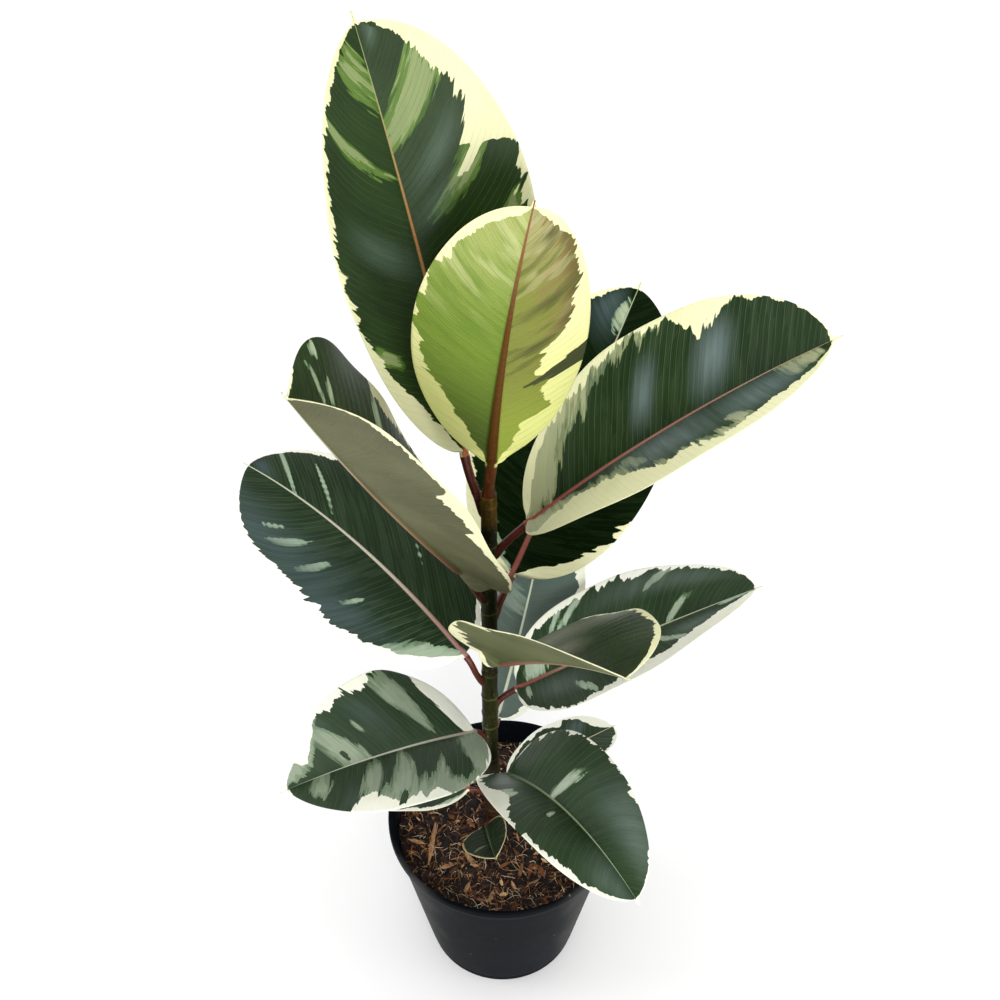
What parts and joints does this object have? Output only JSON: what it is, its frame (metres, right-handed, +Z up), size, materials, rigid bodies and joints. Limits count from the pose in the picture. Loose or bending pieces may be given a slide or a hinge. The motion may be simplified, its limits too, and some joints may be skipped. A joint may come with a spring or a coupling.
{
  "type": "potted rubber plant",
  "caption": "Upright rubber plant in a tapered black nursery pot: large oval leaves, dark green with grey-green patches and cream margins, spiral up an unbranched stem.",
  "frame": {"origin": "centre of the pot's flat underside, where the pot stands", "axes": "+Z up along the pot's axis, -Y towards the viewer of the picture, +X to the viewer's right"},
  "size_m": [0.3759, 0.3791, 0.7691],
  "materials": {
    "black_pot": "satin",
    "potting_mix": "matte",
    "green_stem": "satin",
    "variegated_leaf": "satin",
    "young_leaf": "satin"
  },
  "bodies": {
    "root": {"pot": "black_pot", "potting_soil": "potting_mix", "stem": "green_stem", "leaf_01_small_low_front": "variegated_leaf", "leaf_02_low_right_back": "variegated_leaf", "leaf_03_low_left_under": "variegated_leaf", "leaf_04_low_right_front": "variegated_leaf", "leaf_05_middle_back": "variegated_leaf", "leaf_06_low_left": "variegated_leaf", "leaf_07_middle_right": "variegated_leaf", "leaf_08_left_broad": "variegated_leaf", "leaf_09_middle_cupped": "variegated_leaf", "leaf_10_back_right": "variegated_leaf", "leaf_11_left_boat": "variegated_leaf", "leaf_12_upper_right": "variegated_leaf", "leaf_13_top_left": "variegated_leaf", "leaf_14_newest": "young_leaf"}
  },
  "joints": []
}
